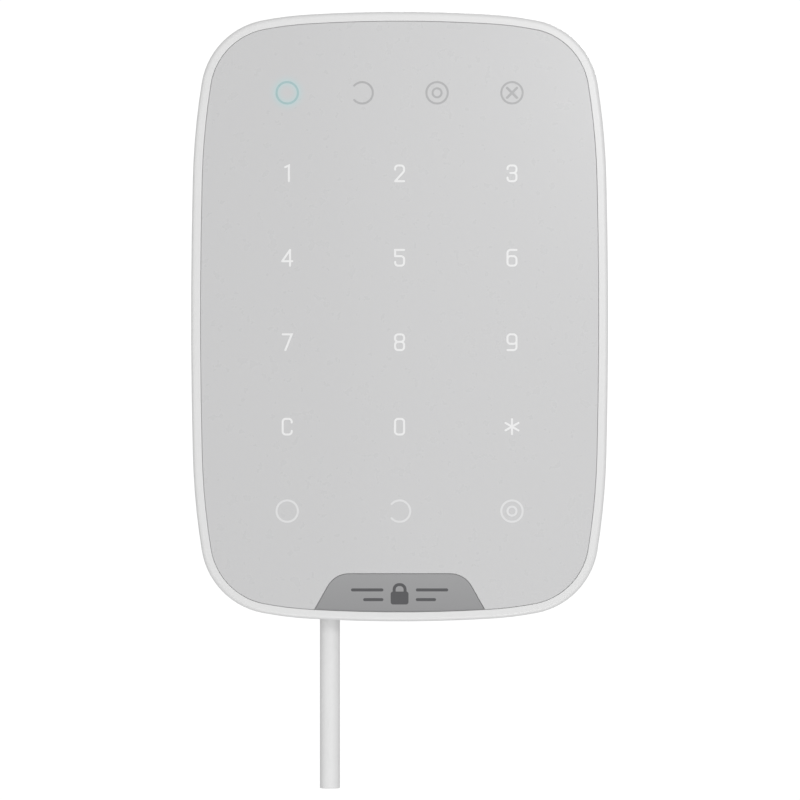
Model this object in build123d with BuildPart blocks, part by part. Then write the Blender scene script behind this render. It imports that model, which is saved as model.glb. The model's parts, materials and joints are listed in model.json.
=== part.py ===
from build123d import *
import math
import os

# A wired touch keypad for an intruder alarm, on its wall bracket.
#
# The keypad is a shallow case: a front frame that holds a flat touch panel, and a rear housing that
# screws to it. Between them lie the mask film, the touch sensor board, the light frame and the main
# board. The rear housing hangs on the four hooks of a flat wall bracket: it slides down onto them and
# a screw from below locks it. A sprung tamper plunger looks out of the back and rides on a ramp of
# the bracket, and a four-core cable enters at the bottom edge and ends in push-in terminals.
#
# Frame: the origin is the centre of the bracket's wall face. X is to the right as the user sees the
# keypad, Z is up, and the wall is at Y = 0. "Depth" is the distance from the wall towards the user,
# so a point at depth d has Y = -d. All sizes are in millimetres.

# ---------------------------------------------------------------- driving dimensions

case_width = 103.0
case_height = 150.6
case_depth = 14.0

# One quarter of the outline is five tangent arcs, from the middle of the side to the middle of the
# top. The corner and top radii follow from the width and height.
side_radius = 1390.0
shoulder_radius = 176.0
crown_radius = 90.0
outline_turns = (1.4, 7.8, 70.0, 7.4, 3.4)  # degrees, and they add up to 90

# Depths of the layers, from the wall to the front.
bracket_thick = 1.8
rear_edge = 0.6
floor_back = 4.6
floor_front = 6.0
main_board_back = 8.25
main_board_front = 9.45
seam = 10.4
seam_gap = 0.25
ledge_back = 11.5
sensor_back = 11.45
sensor_front = 12.35
film_back = 12.42
ledge_front = 12.6
panel_front = 13.8

# Insets of the outlines of the parts from the outline of the case.
rim_inset = 2.3
panel_inset = 2.36
frame_wall_inset = 1.85
tongue_inset = 2.0
cavity_inset = 3.2
recess_inset = 5.0
ledge_inset = 5.2
film_inset = 5.5
sensor_inset = 5.6
bracket_inset = 5.6
main_board_inset = 6.0
light_frame_inset = 6.6

rear_taper = 12.0  # degrees that the sides of the rear housing lean in towards the wall
rear_edge_radius = 2.2
front_edge_radius = 1.0
rim_edge_radius = 0.12

# Touch keys and status symbols.
column_pitch = 27.75
row_pitch = 20.85
first_row_z = 35.37
status_z = 55.25
status_pitch = 18.5
symbol_radius = 2.64
pen_width = 0.5
symbol_pen = 0.5
cross_pen = 0.62
inlay = 0.06
well_radius = 3.6

# Badge plate: a trapezium with round upper corners that stands on the lower rim.
badge_top_z = -63.5
badge_top_half = 16.0
badge_lean = 29.4  # degrees between its sides and the vertical
badge_corner = 6.0
badge_gap = 0.08
badge_inset = 2.32
badge_thick = 1.0
badge_mark_z = -68.4
badge_pen = 0.75

# Case screws and their bosses.
boss_x, boss_z = 38.9, 61.8
boss_radius = 3.0
boss_pad_radius = 4.5

# Bracket: wall screw holes, hooks, window for a cable out of the wall, and the tamper tab.
wall_screw_x, wall_screw_z = 34.0, 52.0
wall_screw_radius = 2.25
hook_x = 36.0
hook_width = 6.0
hook_stem = 2.5
hook_lip = 4.0
hook_feet_z = (38.0, -34.0)
slide_travel = 8.0
window_width, window_height, window_z = 24.0, 28.0, 17.0
notch_top_z = -15.0
tab_x, tab_z, tab_width, tab_height = 22.0, -30.0, 14.0, 32.0
tab_slot = 1.2
tab_screw_z = -40.0

# Tamper plunger. The ramp lets it out by plunger_travel as the keypad slides up by slide_travel.
plunger_z = -28.0
plunger_travel = 1.05
plunger_radius = 2.0
plunger_tip = 3.0
plunger_dome = 4.0
ramp_top = 2.95
turret_back = 3.3

# Locking screw at the bottom edge.
lock_depth = 3.9
lock_notch_depth = 6.6
flange_top_z, flange_thick = -70.0, 1.6
lock_boss_bottom_z, lock_boss_top_z = -69.8, -61.0

# Cable, its four cores, and the terminals.
cable_x, cable_depth = -17.35, 4.0
cable_radius = 2.5
cable_bore = 1.65
cable_strip_z = -46.0
cable_cut_z = -117.25
core_spread = 0.68
core_radius = 0.575
wire_radius = 0.25
channel_width, channel_depth = 6.0, 6.7
bay_half_width, bay_bottom_z, bay_top_z = 9.5, -51.0, -22.0
bay_rim_front = 7.9
terminal_bottom_z, terminal_top_z = -34.0, -24.5
terminal_back = 2.7
terminal_pitch = 3.5
terminal_hole_depth = 6.0
button_z = -28.0
button_back = 2.0

os.makedirs("parts", exist_ok=True)

# ---------------------------------------------------------------- shared shapes


def solve_outline_radii():
    """Radii of the five arcs of a quarter outline, with the corner and top ones fitted to the size."""
    headings = [math.radians(sum(outline_turns[:i])) for i in range(6)]
    across = [math.cos(a) - math.cos(b) for a, b in zip(headings, headings[1:])]
    along = [math.sin(b) - math.sin(a) for a, b in zip(headings, headings[1:])]
    known = {0: side_radius, 1: shoulder_radius, 3: crown_radius}
    width_left = case_width / 2 - sum(r * across[i] for i, r in known.items())
    height_left = case_height / 2 - sum(r * along[i] for i, r in known.items())
    spread = across[2] * along[4] - across[4] * along[2]
    corner = (width_left * along[4] - across[4] * height_left) / spread
    top = (across[2] * height_left - along[2] * width_left) / spread
    return side_radius, shoulder_radius, corner, crown_radius, top


outline_radii = solve_outline_radii()


def at(depth):
    """The plane parallel to the wall at that depth, with X to the right and Z up."""
    return Plane.XZ.offset(depth)


def case_outline(inset, mode=Mode.ADD):
    """Adds the face of the case's outline, drawn in by inset, to the sketch being made."""
    with BuildLine() as edge:
        start, heading = (case_width / 2 - inset, 0), (0, 1)
        for radius, turn in zip(outline_radii, outline_turns):
            arc = JernArc(start, heading, radius - inset, turn)
            start, heading = arc @ 1, arc % 1
        mirror(about=Plane.YZ)
        mirror(about=Plane.XZ)
    make_face(edge.edges(), mode=mode)


def badge_shape(grow, mode=Mode.ADD):
    """Adds the badge's trapezium, larger by grow all round and open-ended below, to the sketch."""
    lean = math.tan(math.radians(badge_lean))
    slant = grow / math.cos(math.radians(badge_lean))
    top, low = badge_top_z + grow, -case_height / 2
    half_top = badge_top_half + slant - grow * lean
    half_low = half_top + (top - low) * lean
    with BuildSketch() as shape:
        with BuildLine():
            Polyline((-half_low, low), (-half_top, top), (half_top, top), (half_low, low), close=True)
        make_face()
        fillet(shape.vertices().group_by(Axis.Y)[-1], badge_corner + grow)
    add(shape.sketch, mode=mode)


def slab(x, z, depth, mode=Mode.ADD):
    """Adds a box to the part being made, from its (low, high) in x, z and depth."""
    with Locations(((x[0] + x[1]) / 2, -(depth[0] + depth[1]) / 2, (z[0] + z[1]) / 2)):
        Box(x[1] - x[0], depth[1] - depth[0], z[1] - z[0], mode=mode)


def rod(x, z, radius, depth, mode=Mode.ADD):
    """Adds a round rod square to the wall, from its (low, high) depth."""
    with BuildSketch(at(depth[0])) as round_face:
        with Locations((x, z)):
            Circle(radius)
    extrude(round_face.sketch, amount=depth[1] - depth[0], mode=mode)


def corners(x, z):
    """The four places at plus and minus x and z."""
    return [(i * x, j * z) for i in (-1, 1) for j in (-1, 1)]


def save(builder, label):
    """Labels a finished part and writes it as a node."""
    builder.part.label = label
    export_step(builder.part, f"parts/{label}.step")


columns = (-column_pitch, 0.0, column_pitch)
key_rows = [first_row_z - i * row_pitch for i in range(5)]
key_places = [(x, z) for z in key_rows for x in columns]
status_places = [((i - 1.5) * status_pitch, status_z) for i in range(4)]
core_places = [(sx * core_spread, sy * core_spread) for sx, sy in ((-1, 1), (-1, -1), (1, -1), (1, 1))]
terminal_xs = [cable_x + (i - 1.5) * terminal_pitch for i in range(4)]

# ---------------------------------------------------------------- symbols
# Each symbol is drawn with a round pen about its own centre.

half_w, half_h, bend, star_arm = 1.11, 1.94, 0.75, 1.85


def pen(centre, points, radius=0.0, close=False, width=pen_width):
    """Draws one stroke through points, its corners rounded by radius, in the sketch being made."""
    places = [(centre[0] + x, centre[1] + y) for x, y in points]
    with BuildLine() as path:
        if radius:
            FilletPolyline(*places, radius=radius, close=close)
        else:
            Polyline(*places, close=close)
    trace(path.edges(), width)
    if not close:
        ends = places if not radius else [places[0], places[-1]]
        with Locations(*ends):
            Circle(width / 2)


def ring(centre, radius):
    """Draws a closed circle with the pen."""
    with BuildSketch(mode=Mode.PRIVATE) as circle:
        with Locations(centre):
            Circle(radius + symbol_pen / 2)
            Circle(radius - symbol_pen / 2, mode=Mode.SUBTRACT)
    add(circle.sketch)


def open_ring(centre, radius, gap):
    """Draws a circle that is open by gap degrees on its left."""
    half = math.radians(180 - gap / 2)
    with BuildLine() as path:
        CenterArc(centre, radius, gap / 2 - 180, 360 - gap)
    trace(path.edges(), symbol_pen)
    ends = [(centre[0] + radius * math.cos(a), centre[1] + radius * math.sin(a)) for a in (half, -half)]
    with Locations(*ends):
        Circle(symbol_pen / 2)


def loop(centre, low, high):
    """Draws an upright round-cornered loop between two heights."""
    pen(centre, [(-half_w, low), (half_w, low), (half_w, high), (-half_w, high)], bend, close=True)


def legend(name, centre):
    """Draws the legend of one key."""
    w, h = half_w, half_h
    if name in ("0", "8", "6", "9"):
        low = 0.1 if name == "8" else -0.4 if name == "9" else -h
        loop(centre, low, 0.4 if name == "6" else h)
    if name == "8":
        loop(centre, -h, 0.1)
    elif name == "6":
        pen(centre, [(w, h), (-w, h), (-w, -0.6)], bend)
    elif name == "9":
        pen(centre, [(-w, -h), (w, -h), (w, 0.6)], bend)
    elif name == "1":
        pen(centre, [(-0.5, h - 0.42), (0.42, h), (0.42, -h)])
    elif name == "2":
        pen(centre, [(-w, h - 1.0), (-w, h), (w, h), (w, 0.5), (-w, -h)], bend)
        pen(centre, [(-w, -h), (w, -h)])
    elif name == "3":
        pen(centre, [(-w, h - 0.9), (-w, h), (w, h), (w, 0.1), (-0.4, 0.1)], bend)
        pen(centre, [(-0.4, 0.1), (w, 0.1), (w, -h), (-w, -h), (-w, 0.9 - h)], bend)
    elif name == "4":
        pen(centre, [(0.7, -h), (0.7, h)])
        pen(centre, [(0.7, h), (-1.25, -0.85)])
        pen(centre, [(-1.25, -0.85), (1.25, -0.85)])
    elif name == "5":
        pen(centre, [(w, h), (-w, h), (-w, 0.4)])
        pen(centre, [(-w, 0.4), (w, 0.4), (w, -h), (-w, -h), (-w, 0.9 - h)], bend)
    elif name == "7":
        pen(centre, [(-w, h), (w, h), (-0.45, -h)])
    elif name == "C":
        pen(centre, [(w, h - 0.9), (w, h), (-w, h), (-w, -h), (w, -h), (w, 0.9 - h)], bend)
    elif name == "*":
        for angle in (30, 90, 150):
            x, y = star_arm * math.cos(math.radians(angle)), star_arm * math.sin(math.radians(angle))
            pen(centre, [(-x, -y), (x, y)])


def draw_legends():
    """Draws the twelve key legends."""
    for name, place in zip("123456789C0*", key_places):
        legend(name, place)


def draw_target(centre):
    """Draws two circles, one inside the other."""
    ring(centre, symbol_radius)
    ring(centre, symbol_radius * 0.42)


def draw_arming_symbols():
    """Draws the closed, open and double circles of the three arming keys."""
    ring(key_places[12], symbol_radius)
    open_ring(key_places[13], symbol_radius, 84)
    draw_target(key_places[14])


def draw_status_symbols():
    """Draws the three status symbols that are dark: open circle, double circle, crossed circle."""
    open_ring(status_places[1], symbol_radius, 84)
    draw_target(status_places[2])
    ring(status_places[3], symbol_radius)
    for tilt in (1, -1):
        pen(status_places[3], [(-1.2, -1.2 * tilt), (1.2, 1.2 * tilt)], width=cross_pen)


def draw_armed_ring():
    """Draws the first status symbol, a closed circle, which is the one that is lit."""
    ring(status_places[0], symbol_radius)


def draw_badge_mark():
    """Draws a plain padlock with two bars on each side of it."""
    with Locations((0, badge_mark_z - 1.1)):
        RectangleRounded(4.4, 3.2, 0.6)
    shackle = [(-1.35, 0), (-1.35, 2.2), (1.35, 2.2), (1.35, 0)]
    pen((0, badge_mark_z), shackle, radius=1.2, width=badge_pen)
    for side in (-1, 1):
        with Locations((side * 8.0, badge_mark_z + 0.9)):
            SlotOverall(8.0, badge_pen)
        with Locations((side * 6.5, badge_mark_z - 1.5)):
            SlotOverall(5.0, badge_pen)


symbol_groups = {
    "key_legends": draw_legends,
    "arming_symbols": draw_arming_symbols,
    "status_symbols": draw_status_symbols,
    "armed_status_ring": draw_armed_ring,
}
symbol_sketches = {}
for label, draw in symbol_groups.items():
    with BuildSketch() as symbols:
        draw()
    symbol_sketches[label] = symbols.sketch

# ---------------------------------------------------------------- wall bracket

tab_x_range = (tab_x - tab_width / 2, tab_x + tab_width / 2)
tab_z_range = (tab_z - tab_height / 2, tab_z + tab_height / 2)
ramp_slope = plunger_travel / slide_travel

with BuildPart() as mounting_bracket:
    with BuildSketch(at(0)) as plate:
        # The lower end is cut back, so that the keypad can slide up without meeting it.
        case_outline(bracket_inset)
        with BuildSketch(mode=Mode.PRIVATE) as lifted:
            case_outline(bracket_inset)
        add(lifted.sketch.moved(Location((0, slide_travel + 0.4, 0))), mode=Mode.INTERSECT)
        with Locations((cable_x, notch_top_z)):
            Rectangle(2 * bay_half_width + 2, 60, align=(Align.CENTER, Align.MAX), mode=Mode.SUBTRACT)
        with Locations((0, -58)):
            Rectangle(12, -58 - flange_top_z, align=(Align.CENTER, Align.MAX))
        with Locations((0, window_z)):
            RectangleRounded(window_width, window_height, 2, mode=Mode.SUBTRACT)
        with Locations(*corners(wall_screw_x, wall_screw_z), (tab_x, tab_screw_z)):
            Circle(wall_screw_radius, mode=Mode.SUBTRACT)
        # The tamper tab hangs on four thin bridges between the slots round it.
        with Locations((tab_x, tab_z)):
            RectangleRounded(tab_width + 2 * tab_slot, tab_height + 2 * tab_slot, 3, mode=Mode.SUBTRACT)
        with Locations((tab_x, tab_z)):
            RectangleRounded(tab_width, tab_height, 2)
            with Locations((0, tab_height / 4), (0, -tab_height / 4)):
                Rectangle(tab_width + 3 * tab_slot, 1.1)
        with Locations((tab_x, tab_screw_z)):
            Circle(wall_screw_radius, mode=Mode.SUBTRACT)
    extrude(amount=bracket_thick)
    # Raised seats for the heads of the wall screws, and stiffening ribs.
    with BuildSketch(at(bracket_thick)):
        with Locations(*corners(wall_screw_x, wall_screw_z)):
            Circle(5.0)
            Circle(4.2, mode=Mode.SUBTRACT)
        with Locations((0, 58), (0, 38)):
            SlotOverall(46, 1.4)
        with Locations((0, -8)):
            SlotOverall(70, 1.4)
    extrude(amount=0.5)
    # Hooks that pass through the floor of the rear housing and lip over its front, upwards.
    for foot in hook_feet_z:
        for side in (-1, 1):
            x = (side * hook_x - hook_width / 2, side * hook_x + hook_width / 2)
            slab(x, (foot, foot + hook_stem), (bracket_thick, floor_front + 1.35))
            slab(x, (foot, foot + hook_stem + hook_lip), (floor_front + 0.15, floor_front + 1.35))
    # Flange at the bottom for the locking screw.
    slab((-6, 6), (flange_top_z - flange_thick, flange_top_z), (0, 5.8))
    with BuildSketch(Plane.XY.offset(flange_top_z - flange_thick)):
        with Locations((0, -lock_depth)):
            Circle(1.6)
    extrude(amount=flange_thick, mode=Mode.SUBTRACT)
    # Ramp on the tab, falling away upwards.
    low_z, high_z = plunger_z - 3.0, plunger_z + slide_travel + 0.6
    flat_end = plunger_z + (plunger_tip - 0.05 - ramp_top) / ramp_slope
    ramp_end_depth = ramp_top - (high_z - flat_end) * ramp_slope
    with BuildSketch(Plane.YZ.offset(tab_x - 2.5)):
        with BuildLine():
            Polyline(
                (-bracket_thick + 0.3, low_z),
                (-ramp_top, low_z + 0.6),
                (-ramp_top, flat_end),
                (-ramp_end_depth, high_z),
                (-bracket_thick + 0.3, high_z),
                close=True,
            )
        make_face()
    extrude(amount=5.0)
save(mounting_bracket, "mounting_bracket")

with BuildPart() as locking_screw:
    head_z = flange_top_z - flange_thick
    with BuildSketch(Plane.XY.offset(head_z)):
        with Locations((0, -lock_depth)):
            Circle(2.4)
    extrude(amount=-1.6)
    fillet(locking_screw.faces().sort_by(Axis.Z)[0].edges(), 0.6)
    with BuildSketch(Plane.XY.offset(head_z)):
        with Locations((0, -lock_depth)):
            Circle(1.4)
    extrude(amount=8.1)
    chamfer(locking_screw.faces().sort_by(Axis.Z)[-1].edges(), 0.5)
    with BuildSketch(Plane.XY.offset(head_z - 1.6)):
        with Locations((0, -lock_depth)):
            Rectangle(2.8, 0.6)
            Rectangle(0.6, 2.8)
    extrude(amount=0.9, mode=Mode.SUBTRACT)
save(locking_screw, "locking_screw")

# ---------------------------------------------------------------- rear housing

channel_x = (cable_x - channel_width / 2, cable_x + channel_width / 2)
bay_x = (cable_x - bay_half_width, cable_x + bay_half_width)
clamp_z = (-63.0, -56.0)
clamp_depth = (0.4, 1.7)
clamp_post_back = 1.75
clamp_screw_x = (cable_x - 6.4, cable_x + 6.4)
clamp_screw_z = sum(clamp_z) / 2
sounder_x, sounder_z = 22.0, 14.0

with BuildPart() as rear_housing:
    with BuildSketch(at(seam)):
        case_outline(0.05)
    extrude(amount=rear_edge - seam, taper=rear_taper)
    fillet(rear_housing.faces().sort_by(Axis.Y)[-1].edges(), rear_edge_radius)
    with BuildSketch(at(seam)):
        case_outline(tongue_inset)
    extrude(amount=0.8)
    with BuildSketch(at(floor_front)):
        case_outline(cavity_inset)
    extrude(amount=seam + 1 - floor_front, mode=Mode.SUBTRACT)
    with BuildSketch(at(rear_edge)):
        case_outline(recess_inset)
    extrude(amount=floor_back - rear_edge, mode=Mode.SUBTRACT)
    # The floor steps forward behind the cable channel and the lock flange.
    step_x = (channel_x[0] - 1, channel_x[1] + 1)
    slab(step_x, (-72.5, bay_bottom_z - 1), (floor_front - 0.5, channel_depth + 1))
    slab((-7.6, 7.6), (-72.2, -66.0), (floor_front - 0.5, lock_notch_depth + 1))
    # Rim round the wiring bay, up to the main board.
    slab((bay_x[0] - 1, bay_x[1] + 1), (bay_bottom_z - 1, bay_top_z + 1), (floor_back, bay_rim_front))
    slab(bay_x, (bay_bottom_z, bay_top_z), (floor_back, bay_rim_front), Mode.SUBTRACT)
    # Cable channel, and the mouth for it in the lower wall.
    slab(channel_x, (-80, bay_bottom_z), (0, channel_depth), Mode.SUBTRACT)
    for i in range(3):
        z = clamp_z[0] + 1.2 + 2.2 * i
        slab(channel_x, (z, z + 0.6), (channel_depth - 0.15, channel_depth + 0.1))
    # Posts for the cable clamp.
    for x in clamp_screw_x:
        rod(x, clamp_screw_z, 2.2, (clamp_post_back, floor_front))
        rod(x, clamp_screw_z, 0.95, (clamp_post_back, floor_front - 0.4), Mode.SUBTRACT)
    # Boss for the locking screw, and the notch for the flange under it.
    slab((-4, 4), (lock_boss_bottom_z, lock_boss_top_z), (2.2, floor_front))
    slab((-6.4, 6.4), (-80, lock_boss_bottom_z), (0, lock_notch_depth), Mode.SUBTRACT)
    with BuildSketch(Plane.XY.offset(lock_boss_bottom_z)):
        with Locations((0, -lock_depth)):
            Circle(1.5)
    extrude(amount=8.0, mode=Mode.SUBTRACT)
    # Slots that let the hooks in and out when the keypad is slid up.
    for foot in hook_feet_z:
        for side in (-1, 1):
            x = (side * hook_x - hook_width / 2 - 0.4, side * hook_x + hook_width / 2 + 0.4)
            slot_z = (foot - slide_travel - 0.4, foot + hook_stem + 0.4)
            slab(x, slot_z, (floor_back, floor_front), Mode.SUBTRACT)
    # Turret that guides the tamper plunger.
    rod(tab_x, plunger_z, 5.0, (turret_back, floor_front))
    rod(tab_x, plunger_z, 3.8, (turret_back + 1.2, floor_front), Mode.SUBTRACT)
    rod(tab_x, plunger_z, plunger_radius + 0.15, (turret_back, floor_front), Mode.SUBTRACT)
    # Case screw holes and sound outlets.
    with BuildSketch(at(floor_back)):
        with Locations(*corners(boss_x, boss_z)):
            Circle(1.3)
        with Locations((sounder_x, sounder_z)):
            Circle(0.7)
            with PolarLocations(3.2, 6):
                Circle(0.7)
    extrude(amount=floor_front - floor_back, mode=Mode.SUBTRACT)
save(rear_housing, "rear_housing")

# ---------------------------------------------------------------- front frame and panel

with BuildPart() as front_frame:
    with BuildSketch(at(seam + seam_gap)):
        case_outline(0)
    extrude(amount=case_depth - seam - seam_gap)
    fillet(front_frame.faces().sort_by(Axis.Y)[0].edges(), front_edge_radius)
    with BuildSketch(at(ledge_front)):
        case_outline(rim_inset)
    extrude(amount=case_depth - ledge_front, mode=Mode.SUBTRACT)
    fillet(front_frame.faces().sort_by(Axis.Y)[0].inner_wires()[0].edges(), rim_edge_radius)
    with BuildSketch(at(ledge_back)):
        case_outline(ledge_inset)
        badge_shape(1.5, Mode.SUBTRACT)
        with Locations(*corners(boss_x, boss_z)):
            Circle(boss_pad_radius, mode=Mode.SUBTRACT)
    extrude(amount=ledge_front - ledge_back, mode=Mode.SUBTRACT)
    with BuildSketch(at(seam + seam_gap)):
        case_outline(frame_wall_inset)
    extrude(amount=ledge_back - seam - seam_gap, mode=Mode.SUBTRACT)
    for x, z in corners(boss_x, boss_z):
        rod(x, z, boss_radius, (floor_front + 0.1, ledge_front - 0.4))
        rod(x, z, 1.15, (floor_front + 0.1, ledge_back - 0.5), Mode.SUBTRACT)
save(front_frame, "front_frame")

with BuildPart() as front_panel:
    with BuildSketch(at(ledge_front)):
        case_outline(panel_inset)
        badge_shape(badge_gap, Mode.SUBTRACT)
    extrude(amount=panel_front - ledge_front)
    chamfer(front_panel.faces().sort_by(Axis.Y)[0].edges(), 0.08)
    for marks in symbol_sketches.values():
        with BuildSketch(at(panel_front)):
            add(marks)
        extrude(amount=-inlay, mode=Mode.SUBTRACT)
save(front_panel, "front_panel")

for label, marks in symbol_sketches.items():
    with BuildPart() as symbol_inlay:
        with BuildSketch(at(panel_front)):
            add(marks)
        extrude(amount=-inlay)
    save(symbol_inlay, label)

with BuildPart() as badge_plate:
    with BuildSketch(at(ledge_front)):
        case_outline(badge_inset)
        badge_shape(0, Mode.INTERSECT)
    extrude(amount=badge_thick)
    chamfer(badge_plate.faces().sort_by(Axis.Y)[0].edges(), 0.08)
    with BuildSketch(at(ledge_front + badge_thick)):
        draw_badge_mark()
    extrude(amount=-inlay, mode=Mode.SUBTRACT)
save(badge_plate, "badge_plate")

with BuildPart() as badge_mark:
    with BuildSketch(at(ledge_front + badge_thick)):
        draw_badge_mark()
    extrude(amount=-inlay)
save(badge_mark, "badge_mark")


# ---------------------------------------------------------------- boards and lights


def board_outline(inset, notch_radius=boss_radius + 0.6):
    """Adds a board's outline, with round notches that clear the bosses of the front frame."""
    case_outline(inset)
    with Locations(*corners(boss_x, boss_z)):
        Circle(notch_radius, mode=Mode.SUBTRACT)


board_screw_places = corners(37.0, 20.0)
connector_z = key_rows[3] - row_pitch / 2

with BuildPart() as diffuser_film:
    with BuildSketch(at(film_back)):
        board_outline(film_inset, boss_pad_radius + 0.4)
        badge_shape(2.0, Mode.SUBTRACT)
    extrude(amount=0.15)
save(diffuser_film, "diffuser_film")

with BuildPart() as sensor_board:
    with BuildSketch(at(sensor_back)):
        board_outline(sensor_inset, boss_pad_radius + 0.5)
        badge_shape(2.0, Mode.SUBTRACT)
        with Locations(*key_places, *status_places):
            Circle(3.1, mode=Mode.SUBTRACT)
    extrude(amount=sensor_front - sensor_back)
save(sensor_board, "sensor_board")

with BuildPart() as touch_electrodes:
    with BuildSketch(at(sensor_front)):
        with Locations(*key_places):
            Circle(7.4)
            Circle(3.6, mode=Mode.SUBTRACT)
    extrude(amount=0.05)
save(touch_electrodes, "touch_electrodes")

with BuildPart() as light_frame:
    with BuildSketch(at(main_board_front)):
        board_outline(light_frame_inset)
        with Locations(*key_places, *status_places):
            Circle(well_radius, mode=Mode.SUBTRACT)
        with Locations((0, connector_z)):
            Rectangle(24, 5, mode=Mode.SUBTRACT)
        with Locations(*board_screw_places):
            Circle(0.85, mode=Mode.SUBTRACT)
    extrude(amount=sensor_back - main_board_front)
save(light_frame, "light_frame")


def light_pipes(label, places):
    """A clear disc with a bevelled back for each place, which spreads the light of the LED behind it."""
    with BuildPart() as pipes:
        with BuildSketch(at(main_board_front + 0.85)):
            with Locations(*places):
                Circle(well_radius - 0.1)
        extrude(amount=1.1)
        chamfer(pipes.edges().group_by(Axis.Y)[-1], 0.25)
    save(pipes, label)


def leds(label, places):
    """A small square LED on the front of the main board at each place."""
    with BuildPart() as lamps:
        for x, z in places:
            slab((x - 0.8, x + 0.8), (z - 0.8, z + 0.8), (main_board_front, main_board_front + 0.65))
    save(lamps, label)


light_pipes("key_light_pipes", key_places)
light_pipes("status_light_pipes", status_places)
leds("key_leds", key_places)
leds("status_leds", status_places)

with BuildPart() as board_connector:
    slab((-11, 11), (connector_z - 1.7, connector_z + 1.7), (main_board_front, sensor_back))
    with BuildSketch(at(main_board_front + 0.9)):
        with Locations((0, connector_z)):
            Rectangle(19, 1.2)
    extrude(amount=0.5, mode=Mode.SUBTRACT)
    fillet(board_connector.edges().filter_by(Axis.Y).sort_by(Axis.X)[:2], 0.3)
save(board_connector, "board_connector")

with BuildPart() as main_board:
    with BuildSketch(at(main_board_back)):
        board_outline(main_board_inset)
        with Locations(*board_screw_places):
            Circle(1.1, mode=Mode.SUBTRACT)
        with Locations(*((x, -29.0) for x in terminal_xs)):
            Circle(0.55, mode=Mode.SUBTRACT)
    extrude(amount=main_board_front - main_board_back)
save(main_board, "main_board")


def chip(label, x, z, size, high, legs):
    """A square chip on the back of the main board, with legs along its four sides."""
    half, half_leg = size / 2, 0.13
    back = main_board_back - high
    leg_depth = (main_board_back - 0.25, main_board_back)
    with BuildPart() as body:
        slab((x - half, x + half), (z - half, z + half), (back, main_board_back - 0.1))
        chamfer(body.faces().sort_by(Axis.Y)[-1].edges(), 0.12)
        # Dimple that marks the first leg.
        rod(x - half + 1, z + half - 1, 0.35, (back, back + 0.06), Mode.SUBTRACT)
    save(body, label)
    with BuildPart() as leads:
        for i in range(legs):
            along = size * (i + 1) / (legs + 1) - half
            for side in (-1, 1):
                near, far = sorted((side * (half + 0.05), side * (half + 1.0)))
                slab((x + near, x + far), (z + along - half_leg, z + along + half_leg), leg_depth)
                slab((x + along - half_leg, x + along + half_leg), (z + near, z + far), leg_depth)
    save(leads, label + "_leads")


chip("controller_chip", -6.0, 22.0, 9.0, 1.4, 9)
chip("bus_chip", 2.0, -16.0, 5.0, 1.1, 5)

with BuildPart() as power_coil:
    slab((6, 12), (-34, -28), (main_board_back - 1.9, main_board_back))
    fillet(power_coil.edges().filter_by(Axis.Y), 0.9)
save(power_coil, "power_coil")

with BuildPart() as capacitors:
    for i in range(6):
        slab((-14 + 3.2 * i, -12.4 + 3.2 * i), (33, 33.9), (main_board_back - 0.8, main_board_back))
        slab((-14 + 3.2 * i, -12.4 + 3.2 * i), (10.4, 11.3), (main_board_back - 0.8, main_board_back))
    for i in range(4):
        slab((5 + 2.2 * i, 6.1 + 2.2 * i), (-25.5, -23.4), (main_board_back - 1.1, main_board_back))
save(capacitors, "capacitors")

with BuildPart() as sounder:
    rod(sounder_x, sounder_z, 6.0, (main_board_back - 1.9, main_board_back))
    fillet(sounder.faces().sort_by(Axis.Y)[-1].edges(), 0.4)
    rod(sounder_x, sounder_z, 1.1, (main_board_back - 1.9, main_board_back - 1.2), Mode.SUBTRACT)
save(sounder, "sounder")

# ---------------------------------------------------------------- fasteners


def screws(label, places, head, shank, depth, head_high, countersunk=False):
    """Cross-head screws driven away from the wall: head and shank radii, and (seat, tip) depth."""
    seat, tip = depth
    with BuildPart() as group:
        for x, z in places:
            rod(x, z, shank, (seat, tip))
            outer = seat if countersunk else seat - head_high
            with BuildSketch(at(outer)) as head_face:
                with Locations((x, z)):
                    Circle(head)
            extrude(head_face.sketch, amount=head_high, taper=45 if countersunk else 0)
            for wide, high in ((head * 1.1, head * 0.25), (head * 0.25, head * 1.1)):
                cross_x, cross_z = (x - wide / 2, x + wide / 2), (z - high / 2, z + high / 2)
                slab(cross_x, cross_z, (outer, outer + head_high * 0.55), Mode.SUBTRACT)
    save(group, label)


screws("case_screws", corners(boss_x, boss_z), 2.1, 1.1, (floor_back, ledge_back - 0.8), 1.2)
screws("board_screws", board_screw_places, 1.7, 0.8, (main_board_back, sensor_back - 0.2), 0.8)

# ---------------------------------------------------------------- tamper plunger, spring and switch

with BuildPart() as tamper_plunger:
    rod(tab_x, plunger_z, plunger_radius, (plunger_tip, 5.9))
    dome_centre = (tab_x, -plunger_tip - plunger_dome, plunger_z)
    with Locations(dome_centre):
        Sphere(plunger_dome, mode=Mode.INTERSECT)
    rod(tab_x, plunger_z, 3.2, (5.85, 6.6))
    rod(tab_x, plunger_z, 0.9, (6.6, 7.38))
save(tamper_plunger, "tamper_plunger")

spring_wire, spring_radius = 0.15, 2.65
spring_length = main_board_back - 6.6
with BuildPart() as tamper_spring:
    rise = spring_length - 2 * spring_wire - 0.1
    with BuildLine() as coil:
        Helix(rise / 3, rise, spring_radius)
    with BuildSketch(Plane(origin=coil.line @ 0, z_dir=coil.line % 0)):
        Circle(spring_wire)
    sweep()
tamper_spring.part = tamper_spring.part.moved(
    Location((tab_x, -6.6 - spring_wire - 0.05, plunger_z)) * Rotation(90, 0, 0)
)
save(tamper_spring, "tamper_spring")

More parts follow.
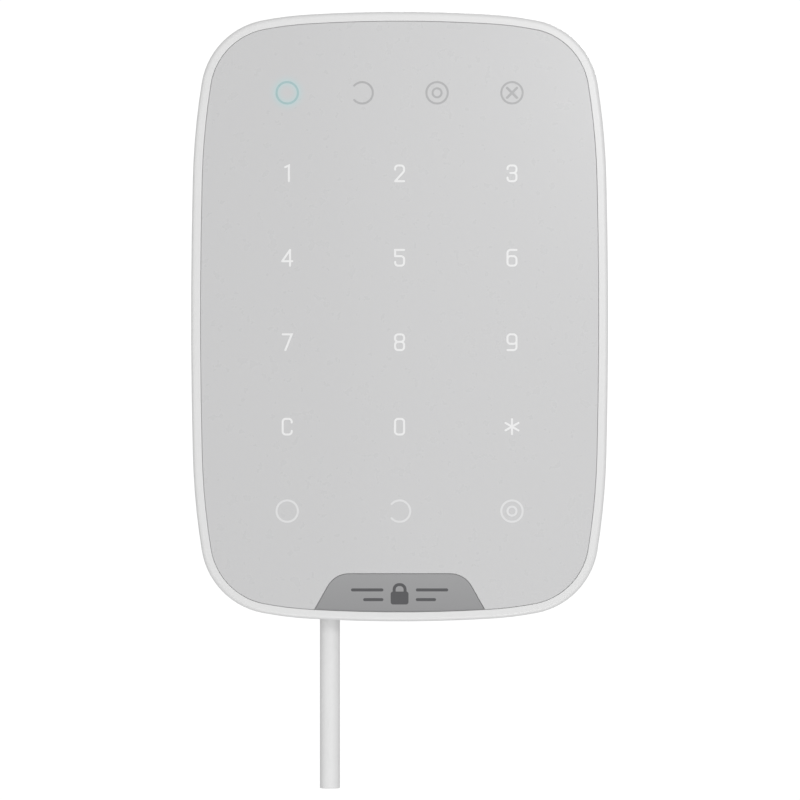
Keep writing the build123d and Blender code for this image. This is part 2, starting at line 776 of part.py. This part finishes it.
with BuildPart() as tamper_switch:
    slab((tab_x - 1.6, tab_x + 1.6), (plunger_z - 1.6, plunger_z + 1.6), (7.65, main_board_back))
    rod(tab_x, plunger_z, 0.8, (7.42, 7.65))
save(tamper_switch, "tamper_switch")

# ---------------------------------------------------------------- terminals

terminal_x = (cable_x - 2 * terminal_pitch - 0.5, cable_x + 2 * terminal_pitch + 0.5)
with BuildPart() as terminal_block:
    slab(terminal_x, (terminal_bottom_z, terminal_top_z), (terminal_back, main_board_back))
    chamfer(terminal_block.edges().filter_by(Axis.X).group_by(Axis.Y)[-1], 0.6)
    for x in terminal_xs:
        slab((x - 1.2, x + 1.2), (button_z - 1.6, button_z + 1.6), (terminal_back, 5.0), Mode.SUBTRACT)
        slab((x - 1.25, x + 1.25), (-33.05, -26.0), (6.25, 6.65), Mode.SUBTRACT)
        rod(x, -29.0, 0.5, (6.5, main_board_back), Mode.SUBTRACT)
        with BuildSketch(Plane.XY.offset(terminal_bottom_z)):
            with Locations((x, -terminal_hole_depth)):
                Circle(0.62)
        extrude(amount=6.5, mode=Mode.SUBTRACT)
        # Funnel that leads each core into its hole.
        with BuildSketch(Plane.XY.offset(terminal_bottom_z)):
            with Locations((x, -terminal_hole_depth)):
                Circle(1.2)
        extrude(amount=0.6, taper=40, mode=Mode.SUBTRACT)
save(terminal_block, "terminal_block")

for i, x in enumerate(terminal_xs):
    with BuildPart() as button:
        slab((x - 1.1, x + 1.1), (button_z - 1.5, button_z + 1.5), (button_back, 4.1))
        fillet(button.faces().sort_by(Axis.Y)[-1].edges(), 0.3)
        # Slot for the tip of a screwdriver.
        slot_z = (button_z - 0.2, button_z + 0.2)
        slab((x - 0.8, x + 0.8), slot_z, (button_back, button_back + 0.25), Mode.SUBTRACT)
    save(button, f"terminal_button_{i + 1}")

with BuildPart() as terminal_contacts:
    for x in terminal_xs:
        slab((x - 1.2, x + 1.2), (-33.0, -26.1), (6.28, 6.6))
        rod(x, -29.0, 0.4, (6.5, main_board_front - 0.05))
save(terminal_contacts, "terminal_contacts")

# ---------------------------------------------------------------- cable, cores and clamp

with BuildPart() as cable_sheath:
    with BuildSketch(Plane.XY.offset(cable_cut_z)):
        with Locations((cable_x, -cable_depth)):
            Circle(cable_radius)
            Circle(cable_bore, mode=Mode.SUBTRACT)
    extrude(amount=cable_strip_z - cable_cut_z)
save(cable_sheath, "cable_sheath")


def core_route(place, x, top_z):
    """The route of one core: straight up the cable, across to its terminal, and up into it."""
    start = (cable_x + place[0], -cable_depth + place[1])
    return [
        (*start, cable_cut_z),
        (*start, cable_strip_z + 0.5),
        (x, -terminal_hole_depth, -37.0),
        (x, -terminal_hole_depth, top_z),
    ]


def swept(route, radius, bore=0.0):
    """Sweeps a round section, or a tube, along the route with arcs at its two bends."""
    with BuildLine() as path:
        FilletPolyline(*route, radius=5.0)
    with BuildSketch(Plane.XY.offset(cable_cut_z)) as section:
        with Locations(route[0][:2]):
            Circle(radius)
            if bore:
                Circle(bore, mode=Mode.SUBTRACT)
    sweep(section.sketch, path=path.wire())


core_names = ("core_red", "core_black", "core_yellow", "core_green")
for label, place, x in zip(core_names, core_places, terminal_xs):
    with BuildPart() as core:
        swept(core_route(place, x, terminal_bottom_z - 0.4), core_radius, wire_radius + 0.02)
    save(core, label)

with BuildPart() as copper_wires:
    for place, x in zip(core_places, terminal_xs):
        swept(core_route(place, x, terminal_bottom_z + 5.0), wire_radius)
save(copper_wires, "copper_wires")

with BuildPart() as cable_clamp:
    slab((cable_x - 8.8, cable_x + 8.8), clamp_z, clamp_depth)
    fillet(cable_clamp.edges().filter_by(Axis.Y), 1.6)
    with BuildSketch(Plane.XY.offset(clamp_z[0])):
        with Locations((cable_x, -cable_depth)):
            Circle(cable_radius + 0.05)
    extrude(amount=clamp_z[1] - clamp_z[0], mode=Mode.SUBTRACT)
    for x in clamp_screw_x:
        rod(x, clamp_screw_z, 1.1, clamp_depth, Mode.SUBTRACT)
        with BuildSketch(at(clamp_depth[0])):
            with Locations((x, clamp_screw_z)):
                Circle(2.05)
        extrude(amount=0.95, taper=45, mode=Mode.SUBTRACT)
save(cable_clamp, "cable_clamp")

clamp_screw_places = [(x, clamp_screw_z) for x in clamp_screw_x]
screws("clamp_screws", clamp_screw_places, 1.95, 0.9, (clamp_depth[0], 5.2), 0.9, countersunk=True)

with BuildPart() as id_label:
    with BuildSketch(at(floor_back)):
        with Locations((0, window_z)):
            RectangleRounded(18, 20, 1)
    extrude(amount=-0.08)
save(id_label, "id_label")
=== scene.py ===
# The looks of a wired touch keypad for an intruder alarm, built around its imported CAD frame.
# Everything is in metres, in the CAD's frame: X right, Z up, and the wall at Y = 0. The front looks along -Y.

import json
import math

import bmesh
import bpy
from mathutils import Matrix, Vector


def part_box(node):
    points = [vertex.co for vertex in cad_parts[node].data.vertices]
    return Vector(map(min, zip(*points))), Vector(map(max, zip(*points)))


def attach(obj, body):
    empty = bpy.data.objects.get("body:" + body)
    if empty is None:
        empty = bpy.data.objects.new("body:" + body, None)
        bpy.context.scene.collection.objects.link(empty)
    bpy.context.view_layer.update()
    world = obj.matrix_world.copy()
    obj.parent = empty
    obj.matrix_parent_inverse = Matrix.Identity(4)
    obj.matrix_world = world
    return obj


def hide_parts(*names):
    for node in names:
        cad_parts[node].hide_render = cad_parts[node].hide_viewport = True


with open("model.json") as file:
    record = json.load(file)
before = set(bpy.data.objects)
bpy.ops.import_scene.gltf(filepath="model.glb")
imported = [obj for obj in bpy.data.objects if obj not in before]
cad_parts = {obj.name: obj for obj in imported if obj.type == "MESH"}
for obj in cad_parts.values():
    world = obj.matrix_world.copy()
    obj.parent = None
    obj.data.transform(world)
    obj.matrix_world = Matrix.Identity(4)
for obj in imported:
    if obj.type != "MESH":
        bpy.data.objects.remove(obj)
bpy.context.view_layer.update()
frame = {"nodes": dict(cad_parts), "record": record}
nodes = frame["nodes"]

# ---------------------------------------------------------------- materials
# Every finish is a small node graph on object coordinates, which are metres in the CAD's frame. Scales of
# noise are in cells per metre, and heights of bump in metres.

finishes = {}


class Finish:
    """One material with a Principled shader, filed in finishes, and helpers that add nodes to it."""

    def __init__(self, name, color, roughness, **sockets):
        finishes[name] = self
        self.material = bpy.data.materials.new(name)
        self.material.use_nodes = True
        self.nodes = self.material.node_tree.nodes
        self.links = self.material.node_tree.links
        self.shader = self.nodes["Principled BSDF"]
        self.color = color
        self.set("Base Color", (*color, 1.0))
        self.set("Roughness", roughness)
        for socket, value in sockets.items():
            self.set(socket.replace("_", " "), value)
        self.where = self.nodes.new("ShaderNodeTexCoord").outputs["Object"]

    def set(self, socket, value):
        """Give an input of the shader a plain value."""
        self.shader.inputs[socket].default_value = value

    def join(self, source, target):
        """Link an output to an input."""
        self.links.new(source, target)

    def paint(self, color):
        """Take the base colour from a socket."""
        self.join(color, self.shader.inputs["Base Color"])

    def painted(self):
        """The socket that the base colour is taken from so far."""
        return self.shader.inputs["Base Color"].links[0].from_socket

    def stretched(self, scale):
        """The object coordinates, scaled by a different number along each axis."""
        mapping = self.nodes.new("ShaderNodeMapping")
        mapping.inputs["Scale"].default_value = scale
        self.join(self.where, mapping.inputs["Vector"])
        return mapping.outputs["Vector"]

    def noise(self, scale, detail, rough=0.5, vector=None):
        """A noise value from 0 to 1."""
        texture = self.nodes.new("ShaderNodeTexNoise")
        texture.inputs["Scale"].default_value = scale
        texture.inputs["Detail"].default_value = detail
        texture.inputs["Roughness"].default_value = rough
        self.join(vector or self.where, texture.inputs["Vector"])
        return texture.outputs["Fac"]

    def math(self, operation, first, second=None, clamp=False):
        """One Math node on numbers or sockets."""
        node = self.nodes.new("ShaderNodeMath")
        node.operation = operation
        node.use_clamp = clamp
        for slot, value in enumerate((first, second)):
            if isinstance(value, (int, float)):
                node.inputs[slot].default_value = value
            elif value is not None:
                self.join(value, node.inputs[slot])
        return node.outputs[0]

    def span(self, value, low, high, start=0.0, end=1.0):
        """Value mapped from low..high to start..end, held at both ends."""
        node = self.nodes.new("ShaderNodeMapRange")
        numbers = {"From Min": low, "From Max": high, "To Min": start, "To Max": end}
        for socket, number in numbers.items():
            node.inputs[socket].default_value = number
        self.join(value, node.inputs["Value"])
        return node.outputs["Result"]

    def mix(self, factor, first, second):
        """A colour between two colours or sockets."""
        node = self.nodes.new("ShaderNodeMix")
        node.data_type = "RGBA"
        self.join(factor, node.inputs["Factor"])
        colors = [s for s in node.inputs if s.type == "RGBA"]
        for socket, value in zip(colors, (first, second)):
            if isinstance(value, tuple):
                socket.default_value = (*value, 1.0)
            else:
                self.join(value, socket)
        return next(s for s in node.outputs if s.type == "RGBA")

    def axes(self):
        """The x, y and z of the object coordinates."""
        node = self.nodes.new("ShaderNodeSeparateXYZ")
        self.join(self.where, node.inputs[0])
        return node.outputs

    def off_circle(self, center_x, center_z, radius):
        """How far a point lies from a circle, seen from the front."""
        x, _, z = self.axes()
        squares = [self.math("POWER", self.math("SUBTRACT", axis, center), 2.0)
                   for axis, center in ((x, center_x), (z, center_z))]
        away = self.math("SQRT", self.math("ADD", *squares))
        return self.math("ABSOLUTE", self.math("SUBTRACT", away, radius))

    def tint(self, amount, scale, vector=None):
        """Small even changes of the base colour, and returns the colour."""
        level = self.noise(scale, 4.0, 0.6, vector)
        low = tuple(c * (1.0 - amount) for c in self.color)
        high = tuple(min(1.0, c * (1.0 + amount)) for c in self.color)
        color = self.mix(self.span(level, 0.3, 0.7), low, high)
        self.paint(color)
        return color

    def emboss(self, level, height):
        """Bump from a value between 0 and 1."""
        bump = self.nodes.new("ShaderNodeBump")
        bump.inputs["Strength"].default_value = 1.0
        bump.inputs["Distance"].default_value = height
        self.join(level, bump.inputs["Height"])
        self.join(bump.outputs["Normal"], self.shader.inputs["Normal"])

    def grain(self, scale, height, detail=2.0, vector=None):
        """A fine grain as bump."""
        self.emboss(self.noise(scale, detail, 0.5, vector), height)

    def vary_roughness(self, low, high, scale, vector=None):
        """Roughness that wanders between two values."""
        level = self.noise(scale, 3.0, 0.6, vector)
        self.join(self.span(level, 0.3, 0.7, low, high), self.shader.inputs["Roughness"])

    def edge_highlight_and_wear(self, color, strength):
        """A slightly different colour along exposed edges: painted highlight where lighter, wear where
        darker.
        """
        point = self.nodes.new("ShaderNodeNewGeometry").outputs["Pointiness"]
        edge = self.span(point, 0.52, 0.6, 0.0, strength)
        self.paint(self.mix(edge, self.painted(), color))


def moulded(name, color, roughness, grain, tint=0.02, spread=0.06, **sockets):
    """A moulded plastic with a fine spark-eroded grain."""
    finish = Finish(name, color, roughness, **sockets)
    finish.tint(tint, scale=420.0)
    finish.grain(scale=9000.0, height=grain)
    finish.vary_roughness(roughness - spread, roughness + spread, scale=2600.0)
    return finish


def polished(name, color, roughness, tint=0.01, ripple=4.0e-7, **sockets):
    """A smooth glossy plastic with a slight ripple, and evenly coloured where its tint is 0."""
    finish = Finish(name, color, roughness, **sockets)
    if tint:
        finish.tint(tint, scale=160.0)
    finish.grain(scale=500.0, height=ripple, detail=1.0)
    finish.vary_roughness(roughness - 0.01, roughness + 0.01, scale=300.0)
    return finish


def metal(name, color, roughness, brushed=(1.0, 1.0, 1.0)):
    """A plated or drawn metal, whose marks are longer along an axis where brushed is below 1."""
    finish = Finish(name, color, roughness, Metallic=1.0)
    marks = finish.stretched(brushed)
    finish.tint(0.06, scale=2500.0, vector=marks)
    finish.grain(scale=6000.0, height=2.5e-6, detail=3.0, vector=marks)
    finish.vary_roughness(roughness - 0.08, roughness + 0.1, scale=4000.0, vector=marks)


def circuit(name, color, track, pad):
    """Solder resist over tracks: straight runs in two directions, and scattered vias."""
    half_pitch, half_width, track_height = 0.0009, 0.00028, 2.0e-5
    finish = Finish(name, color, 0.3, Coat_Weight=0.35, Coat_Roughness=0.15)
    x, _, z = finish.axes()
    block = finish.noise(scale=90.0, detail=0.0)

    def tracks(axis, jog):
        """Tracks at an even pitch along an axis, shifted from block to block."""
        place = finish.math("ADD", axis, finish.math("MULTIPLY", block, jog))
        return finish.math("LESS_THAN", finish.math("PINGPONG", place, half_pitch), half_width)

    upright = finish.span(finish.noise(scale=55.0, detail=0.0), 0.49, 0.51)
    level = finish.math("SUBTRACT", 1.0, upright)
    run = finish.math("ADD", finish.math("MULTIPLY", tracks(x, 0.004), upright),
                      finish.math("MULTIPLY", tracks(z, 0.003), level), clamp=True)
    dots = finish.nodes.new("ShaderNodeTexVoronoi")
    dots.inputs["Scale"].default_value = 160.0
    finish.join(finish.where, dots.inputs["Vector"])
    via = finish.math("LESS_THAN", dots.outputs["Distance"], 0.055)
    finish.paint(finish.mix(via, finish.mix(run, color, track), pad))
    finish.emboss(run, track_height)


# Case, panel and bracket
moulded("frame_white", (0.80, 0.80, 0.80), 0.34, 8.0e-7, 0.006, 0.04, Coat_Weight=0.25, Coat_Roughness=0.2)
# The case's exposed edges are painted lighter: a painted highlight.
moulded("case_white", (0.78, 0.78, 0.775), 0.48, 4.0e-6, 0.01).edge_highlight_and_wear((0.83, 0.83, 0.82), 0.35)
moulded("bracket_white", (0.75, 0.75, 0.745), 0.52, 5.0e-6, 0.015).edge_highlight_and_wear((0.66, 0.66, 0.65), 0.4)
polished("symbol_grey", (0.45, 0.45, 0.455), 0.3)
polished("badge_dark", (0.085, 0.085, 0.09), 0.35, 0.03)
metal("screw_steel", (0.55, 0.55, 0.54), 0.38, (1.0, 0.25, 1.0))

# Light guides and boards
moulded("film_white", (0.78, 0.79, 0.79), 0.55, 1.0e-6, 0.02, Transmission_Weight=0.2)
moulded("light_frame_white", (0.82, 0.82, 0.81), 0.6, 5.0e-6)
polished("pipe_clear", (0.93, 0.95, 0.95), 0.12, 0.005, Transmission_Weight=0.75, IOR=1.49)
polished("led_yellow", (0.8, 0.62, 0.2), 0.3, 0.03, Transmission_Weight=0.3)
circuit("board_white", (0.72, 0.74, 0.73), (0.62, 0.65, 0.63), (0.75, 0.6, 0.3))
circuit("board_green", (0.012, 0.13, 0.05), (0.02, 0.22, 0.08), (0.7, 0.68, 0.6))
metal("electrode_copper", (0.78, 0.42, 0.25), 0.3)
moulded("chip_black", (0.022, 0.022, 0.024), 0.5, 6.0e-6, 0.15)
metal("lead_tin", (0.68, 0.68, 0.67), 0.34)
moulded("connector_cream", (0.66, 0.61, 0.47), 0.45, 3.0e-6, 0.03)
moulded("capacitor_tan", (0.36, 0.25, 0.15), 0.5, 6.0e-6, 0.12)
polished("sounder_black", (0.02, 0.02, 0.02), 0.3, 0.05)

# Tamper switch and terminals
metal("spring_steel", (0.6, 0.6, 0.61), 0.25)
moulded("plunger_grey", (0.2, 0.2, 0.21), 0.4, 3.0e-6, 0.06)
moulded("switch_black", (0.03, 0.03, 0.03), 0.45, 4.0e-6, 0.1)
moulded("terminal_grey", (0.42, 0.45, 0.46), 0.42, 4.0e-6, 0.03)
moulded("button_orange", (0.8, 0.2, 0.02), 0.38, 3.0e-6, 0.05)
metal("contact_tin", (0.7, 0.67, 0.62), 0.3, (1.0, 1.0, 0.2))

# Cable and its clamp
moulded("sheath_white", (0.83, 0.83, 0.83), 0.42, 2.5e-6, 0.012, Sheen_Weight=0.08)
moulded("core_red", (0.55, 0.02, 0.02), 0.35, 2.0e-6, 0.05)
moulded("core_black", (0.02, 0.02, 0.02), 0.35, 2.0e-6, 0.1)
moulded("core_yellow", (0.8, 0.56, 0.03), 0.35, 2.0e-6, 0.05)
moulded("core_green", (0.03, 0.32, 0.08), 0.35, 2.0e-6, 0.05)
metal("copper", (0.85, 0.45, 0.28), 0.28, (1.0, 1.0, 0.1))
moulded("clamp_white", (0.74, 0.74, 0.735), 0.5, 4.0e-6, 0.02)


def legend_finish():
    """White keys, and a fainter white on the arming symbols in the lowest row."""
    legend = Finish("legend_white", (0.88, 0.88, 0.88), 0.3)
    _, _, z = legend.axes()
    symbols_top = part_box("arming_symbols")[1][2]
    keys_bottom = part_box("key_legends")[0][2]
    is_key = legend.span(z, symbols_top, keys_bottom)
    legend.paint(legend.mix(is_key, (0.785, 0.785, 0.79), legend.tint(0.01, scale=160.0)))


half_stroke = 0.00025


def lit_circle():
    """Centre (x, z) and radius of the line that the lit ring is drawn along."""
    low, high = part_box("armed_status_ring")
    return (low[0] + high[0]) / 2, (low[2] + high[2]) / 2, (high[0] - low[0]) / 2 - half_stroke


def panel_finish():
    """A smooth light-grey sheet, with a soft halo where the lit ring shines through."""
    halo_width = 0.0026
    panel = polished("panel_grey", (0.628, 0.628, 0.632), 0.28, 0.0004, 3.0e-8,
                     Coat_Weight=0.3, Coat_Roughness=0.08)
    near = panel.span(panel.off_circle(*lit_circle()), 0.0, halo_width, 1.0, 0.0)
    halo = panel.math("POWER", near, 2.4)
    panel.paint(panel.mix(panel.math("MULTIPLY", halo, 0.45), panel.painted(), (0.36, 0.60, 0.62)))
    panel.set("Emission Color", (0.20, 0.62, 0.66, 1.0))
    panel.join(panel.math("MULTIPLY", halo, 0.10), panel.shader.inputs["Emission Strength"])


def lit_finish():
    """The lit ring, which glows more along the middle of its stroke."""
    lit = Finish("symbol_lit", (0.38, 0.525, 0.53), 0.3)
    lit.tint(0.03, scale=800.0)
    lit.set("Emission Color", (0.16, 0.62, 0.66, 1.0))
    strength = lit.span(lit.off_circle(*lit_circle()), 0.0, half_stroke, 0.06, 0.02)
    lit.join(strength, lit.shader.inputs["Emission Strength"])


def badge_finish():
    """The badge plate, with painted shade: a little darker towards its lower edge, lighter towards its top.
    """
    shaded_grey, lit_grey = (0.30, 0.30, 0.305), (0.345, 0.345, 0.35)
    badge = polished("badge_grey", shaded_grey, 0.32, tint=0, Coat_Weight=0.2, Coat_Roughness=0.15)
    low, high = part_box("badge_plate")
    _, _, z = badge.axes()
    # Painted shade: the grey goes from darker at the lower edge to lighter at the top.
    badge.paint(badge.mix(badge.span(z, low[2], high[2]), shaded_grey, lit_grey))


def label_finish():
    """The blank label: paper with a plain printed border."""
    border_inset, half_line = 0.0012, 0.00012
    paper = moulded("label_white", (0.82, 0.82, 0.8), 0.7, 8.0e-6, 0.02)
    low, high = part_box("id_label")
    x, _, z = paper.axes()

    def past_border(axis, start, end):
        """How far a point lies outside the border along one axis."""
        off_middle = paper.math("ABSOLUTE", paper.math("SUBTRACT", axis, (start + end) / 2))
        return paper.math("SUBTRACT", off_middle, (end - start) / 2 - border_inset)

    outside = paper.math("MAXIMUM", past_border(x, low[0], high[0]), past_border(z, low[2], high[2]))
    line = paper.math("LESS_THAN", paper.math("ABSOLUTE", outside), half_line)
    paper.paint(paper.mix(line, paper.painted(), (0.35, 0.35, 0.36)))


legend_finish()
panel_finish()
lit_finish()
badge_finish()
label_finish()

for part in frame["record"]["subparts"]:
    mesh = nodes[part["node"]].data
    mesh.materials.clear()
    mesh.materials.append(finishes[part["material_slot"]].material)

# ---------------------------------------------------------------- cable
# The route is the one in the CAD: straight down from the stripped end at the terminals to the cut end.

cable_x, cable_y = -0.01735, -0.004
strip_z, exit_z, cut_z = -0.046, -0.0731, -0.11725
cable_radius, bore = 0.0025, 0.00165
core_radius, copper_radius = 0.000575, 0.00025
core_spread = 0.00068
terminal_y, terminal_pitch = -0.006, 0.0035
terminal_xs = [cable_x + (i - 1.5) * terminal_pitch for i in range(4)]
core_names = ("core_red", "core_black", "core_yellow", "core_green")
core_places = ((-1, 1), (-1, -1), (1, -1), (1, 1))


def rider(name, data, finish):
    """A piece with that material, which rides on the keypad."""
    data.materials.append(finishes[finish].material)
    piece = bpy.data.objects.new(name, data)
    bpy.context.scene.collection.objects.link(piece)
    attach(piece, "keypad")
    return piece


def curve_piece(name, routes, radius, finish, caps=True):
    """A tube of that radius along NURBS splines through the routes' control points."""
    data = bpy.data.curves.new(name, "CURVE")
    data.dimensions = "3D"
    data.resolution_u = 16
    data.bevel_depth = radius
    data.bevel_resolution = 7
    data.use_fill_caps = caps
    for route in routes:
        spline = data.splines.new("NURBS")
        spline.points.add(len(route) - 1)
        for point, place in zip(spline.points, route):
            point.co = (*place, 1.0)
        spline.order_u = 3
        spline.use_endpoint_u = True
        spline.use_smooth = True
    return rider(name, data, finish)


def mesh_data(name, build):
    """A mesh made by build(bm)."""
    bm = bmesh.new()
    build(bm)
    mesh = bpy.data.meshes.new(name)
    bm.to_mesh(mesh)
    bm.free()
    return mesh


def turned(profile, steps=48):
    """A builder that turns a closed (radius, z) profile round the cable's axis."""
    def build(bm):
        turns = [i * math.tau / steps for i in range(steps)]
        rings = []
        for radius, height in profile:
            rings.append([bm.verts.new((cable_x + radius * math.cos(turn),
                                        cable_y + radius * math.sin(turn), height)) for turn in turns])
        for first, second in zip(rings, rings[1:] + rings[:1]):
            for i in range(steps):
                j = (i + 1) % steps
                bm.faces.new((first[i], first[j], second[j], second[i]))
        bmesh.ops.recalc_face_normals(bm, faces=bm.faces)
        for face in bm.faces:
            face.smooth = True
    return build


def wall_profile(end_z, inward):
    """The sheath's wall at a cut, both of its rims slightly broken. It goes 5 mm in, just under the skin."""
    inner_break, outer_break, break_depth = 0.0001, 0.00022, 0.00012
    under_skin = 0.00004
    inner_z = end_z + inward * 0.005
    return [
        (bore, end_z + inward * inner_break),
        (bore + inner_break, end_z),
        (cable_radius - outer_break, end_z),
        (cable_radius - 1.5 * under_skin, end_z + inward * break_depth),
        (cable_radius - under_skin, inner_z),
        (bore, inner_z),
    ]


def sheath_end(name, end_z, inward):
    """The thick wall that shows where the sheath is cut."""
    return rider(name, mesh_data(name, turned(wall_profile(end_z, inward))), "sheath_white")


# The skin of the sheath stops just above the cut, where the end piece's broken rim begins.
sheath_heights = (strip_z, exit_z, -0.095, cut_z + 0.00006)
sheath = curve_piece("cable", [[(cable_x, cable_y, height) for height in sheath_heights]],
                     cable_radius, "sheath_white", caps=False)
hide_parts("cable_sheath")
lower_end = sheath_end("cable_cut_end", cut_z, 1)
upper_end = sheath_end("cable_stripped_end", strip_z, -1)


def core_route(place, x, end_z, top_z):
    """Control points of one core: up the cable, across to its terminal and up into it.

    The two points above the bend are the same for the copper and its insulation, so both bend alike.
    """
    px, py = cable_x + place[0] * core_spread, cable_y + place[1] * core_spread
    return [
        (px, py, end_z),
        (px, py, -0.0505),
        (px, py, strip_z + 0.0005),
        (x, terminal_y, -0.037),
        (x, terminal_y, -0.0355),
        (x, terminal_y, top_z),
    ]


# At the cut the cores stand out of the sheath a little, and the copper out of the cores.
insulation_z, copper_z = cut_z - 0.00005, cut_z - 0.0001
insulation_top, copper_top = -0.0342, -0.029
for name, place, x in zip(core_names, core_places, terminal_xs):
    route = core_route(place, x, insulation_z, insulation_top)
    core = curve_piece(f"{name}_insulation", [route], core_radius, name)
    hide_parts(name)
copper_routes = [core_route(place, x, copper_z, copper_top) for place, x in zip(core_places, terminal_xs)]
copper = curve_piece("copper_cores", copper_routes, copper_radius, "copper")
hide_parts("copper_wires")

# ---------------------------------------------------------------- studio

stage = bpy.data.materials.new("studio_white")
stage.use_nodes = True
stage.node_tree.nodes.clear()
emit = stage.node_tree.nodes.new("ShaderNodeEmission")
emit.inputs["Color"].default_value = (1.0, 1.0, 1.0, 1.0)
emit.inputs["Strength"].default_value = 1.05
output = stage.node_tree.nodes.new("ShaderNodeOutputMaterial")
stage.node_tree.links.new(emit.outputs[0], output.inputs["Surface"])


def stage_piece(name, build):
    """A part of the studio that only the camera sees, so that it sends no light onto the object."""
    mesh = mesh_data(name, build)
    mesh.materials.append(stage)
    piece = bpy.data.objects.new(name, mesh)
    bpy.context.scene.collection.objects.link(piece)
    for use in ("diffuse", "glossy", "transmission", "shadow", "volume_scatter"):
        setattr(piece, f"visible_{use}", False)


def dome(bm):
    """A white shell all round."""
    bmesh.ops.create_icosphere(bm, subdivisions=4, radius=5.0)


def floor(bm):
    """A white disc far enough below the object to leave views from below free."""
    bmesh.ops.create_circle(bm, cap_ends=True, segments=96, radius=4.8)
    for vertex in bm.verts:
        vertex.co.z = -1.3


stage_piece("backdrop", dome)
stage_piece("floor", floor)

world = bpy.data.worlds.new("studio")
bpy.context.scene.world = world
world.use_nodes = True
sky = world.node_tree.nodes["Background"]
sky.inputs["Color"].default_value = (1.0, 1.0, 1.0, 1.0)
sky.inputs["Strength"].default_value = 0.488


def softbox(name, place, size, power):
    """A square area light that looks at the middle of the keypad, with its power in watts."""
    light = bpy.data.lights.new(name, "AREA")
    light.shape = "SQUARE"
    light.size = size
    light.energy = power
    piece = bpy.data.objects.new(name, light)
    bpy.context.scene.collection.objects.link(piece)
    piece.location = place
    piece.rotation_euler = (Vector((0, 0, 0)) - Vector(place)).to_track_quat("-Z", "Y").to_euler()
    piece.visible_camera = False


# The front light stands to the right, so its reflection fades out towards the left of the panel. The two
# near lights brighten the panel's upper right corner.
softbox("front", (0.62, -2.2, 0.4), 1.4, 6.2)
softbox("near_right", (0.27, -0.6, 0.22), 0.25, 0.2)
softbox("nearest_right", (0.11, -0.45, 0.10), 0.06, 0.15)
softbox("left", (-1.3, -1.4, 0.1), 1.0, 2.5)
softbox("low", (0.15, -1.3, -1.1), 1.0, 7.0)
softbox("top", (0.1, -1.0, 1.4), 1.0, 2.1)
softbox("back", (0.6, 1.7, 0.9), 1.2, 12.0)

# The camera stands straight in front, a little below the middle of the case, so that the whole cable shows.
camera = bpy.data.cameras.new("camera")
camera.type = "PERSP"
camera.lens = 200.0
camera.sensor_width = 36.0
camera.clip_start = 0.05
camera.clip_end = 50.0
view = bpy.data.objects.new("camera", camera)
bpy.context.scene.collection.objects.link(view)
view.location = (0.0001, -1.1112, -0.0206)
view.rotation_euler = (math.pi / 2, 0.0, 0.0)
bpy.context.scene.camera = view
bpy.context.scene.view_settings.view_transform = "Standard"
bpy.context.scene.view_settings.look = "None"
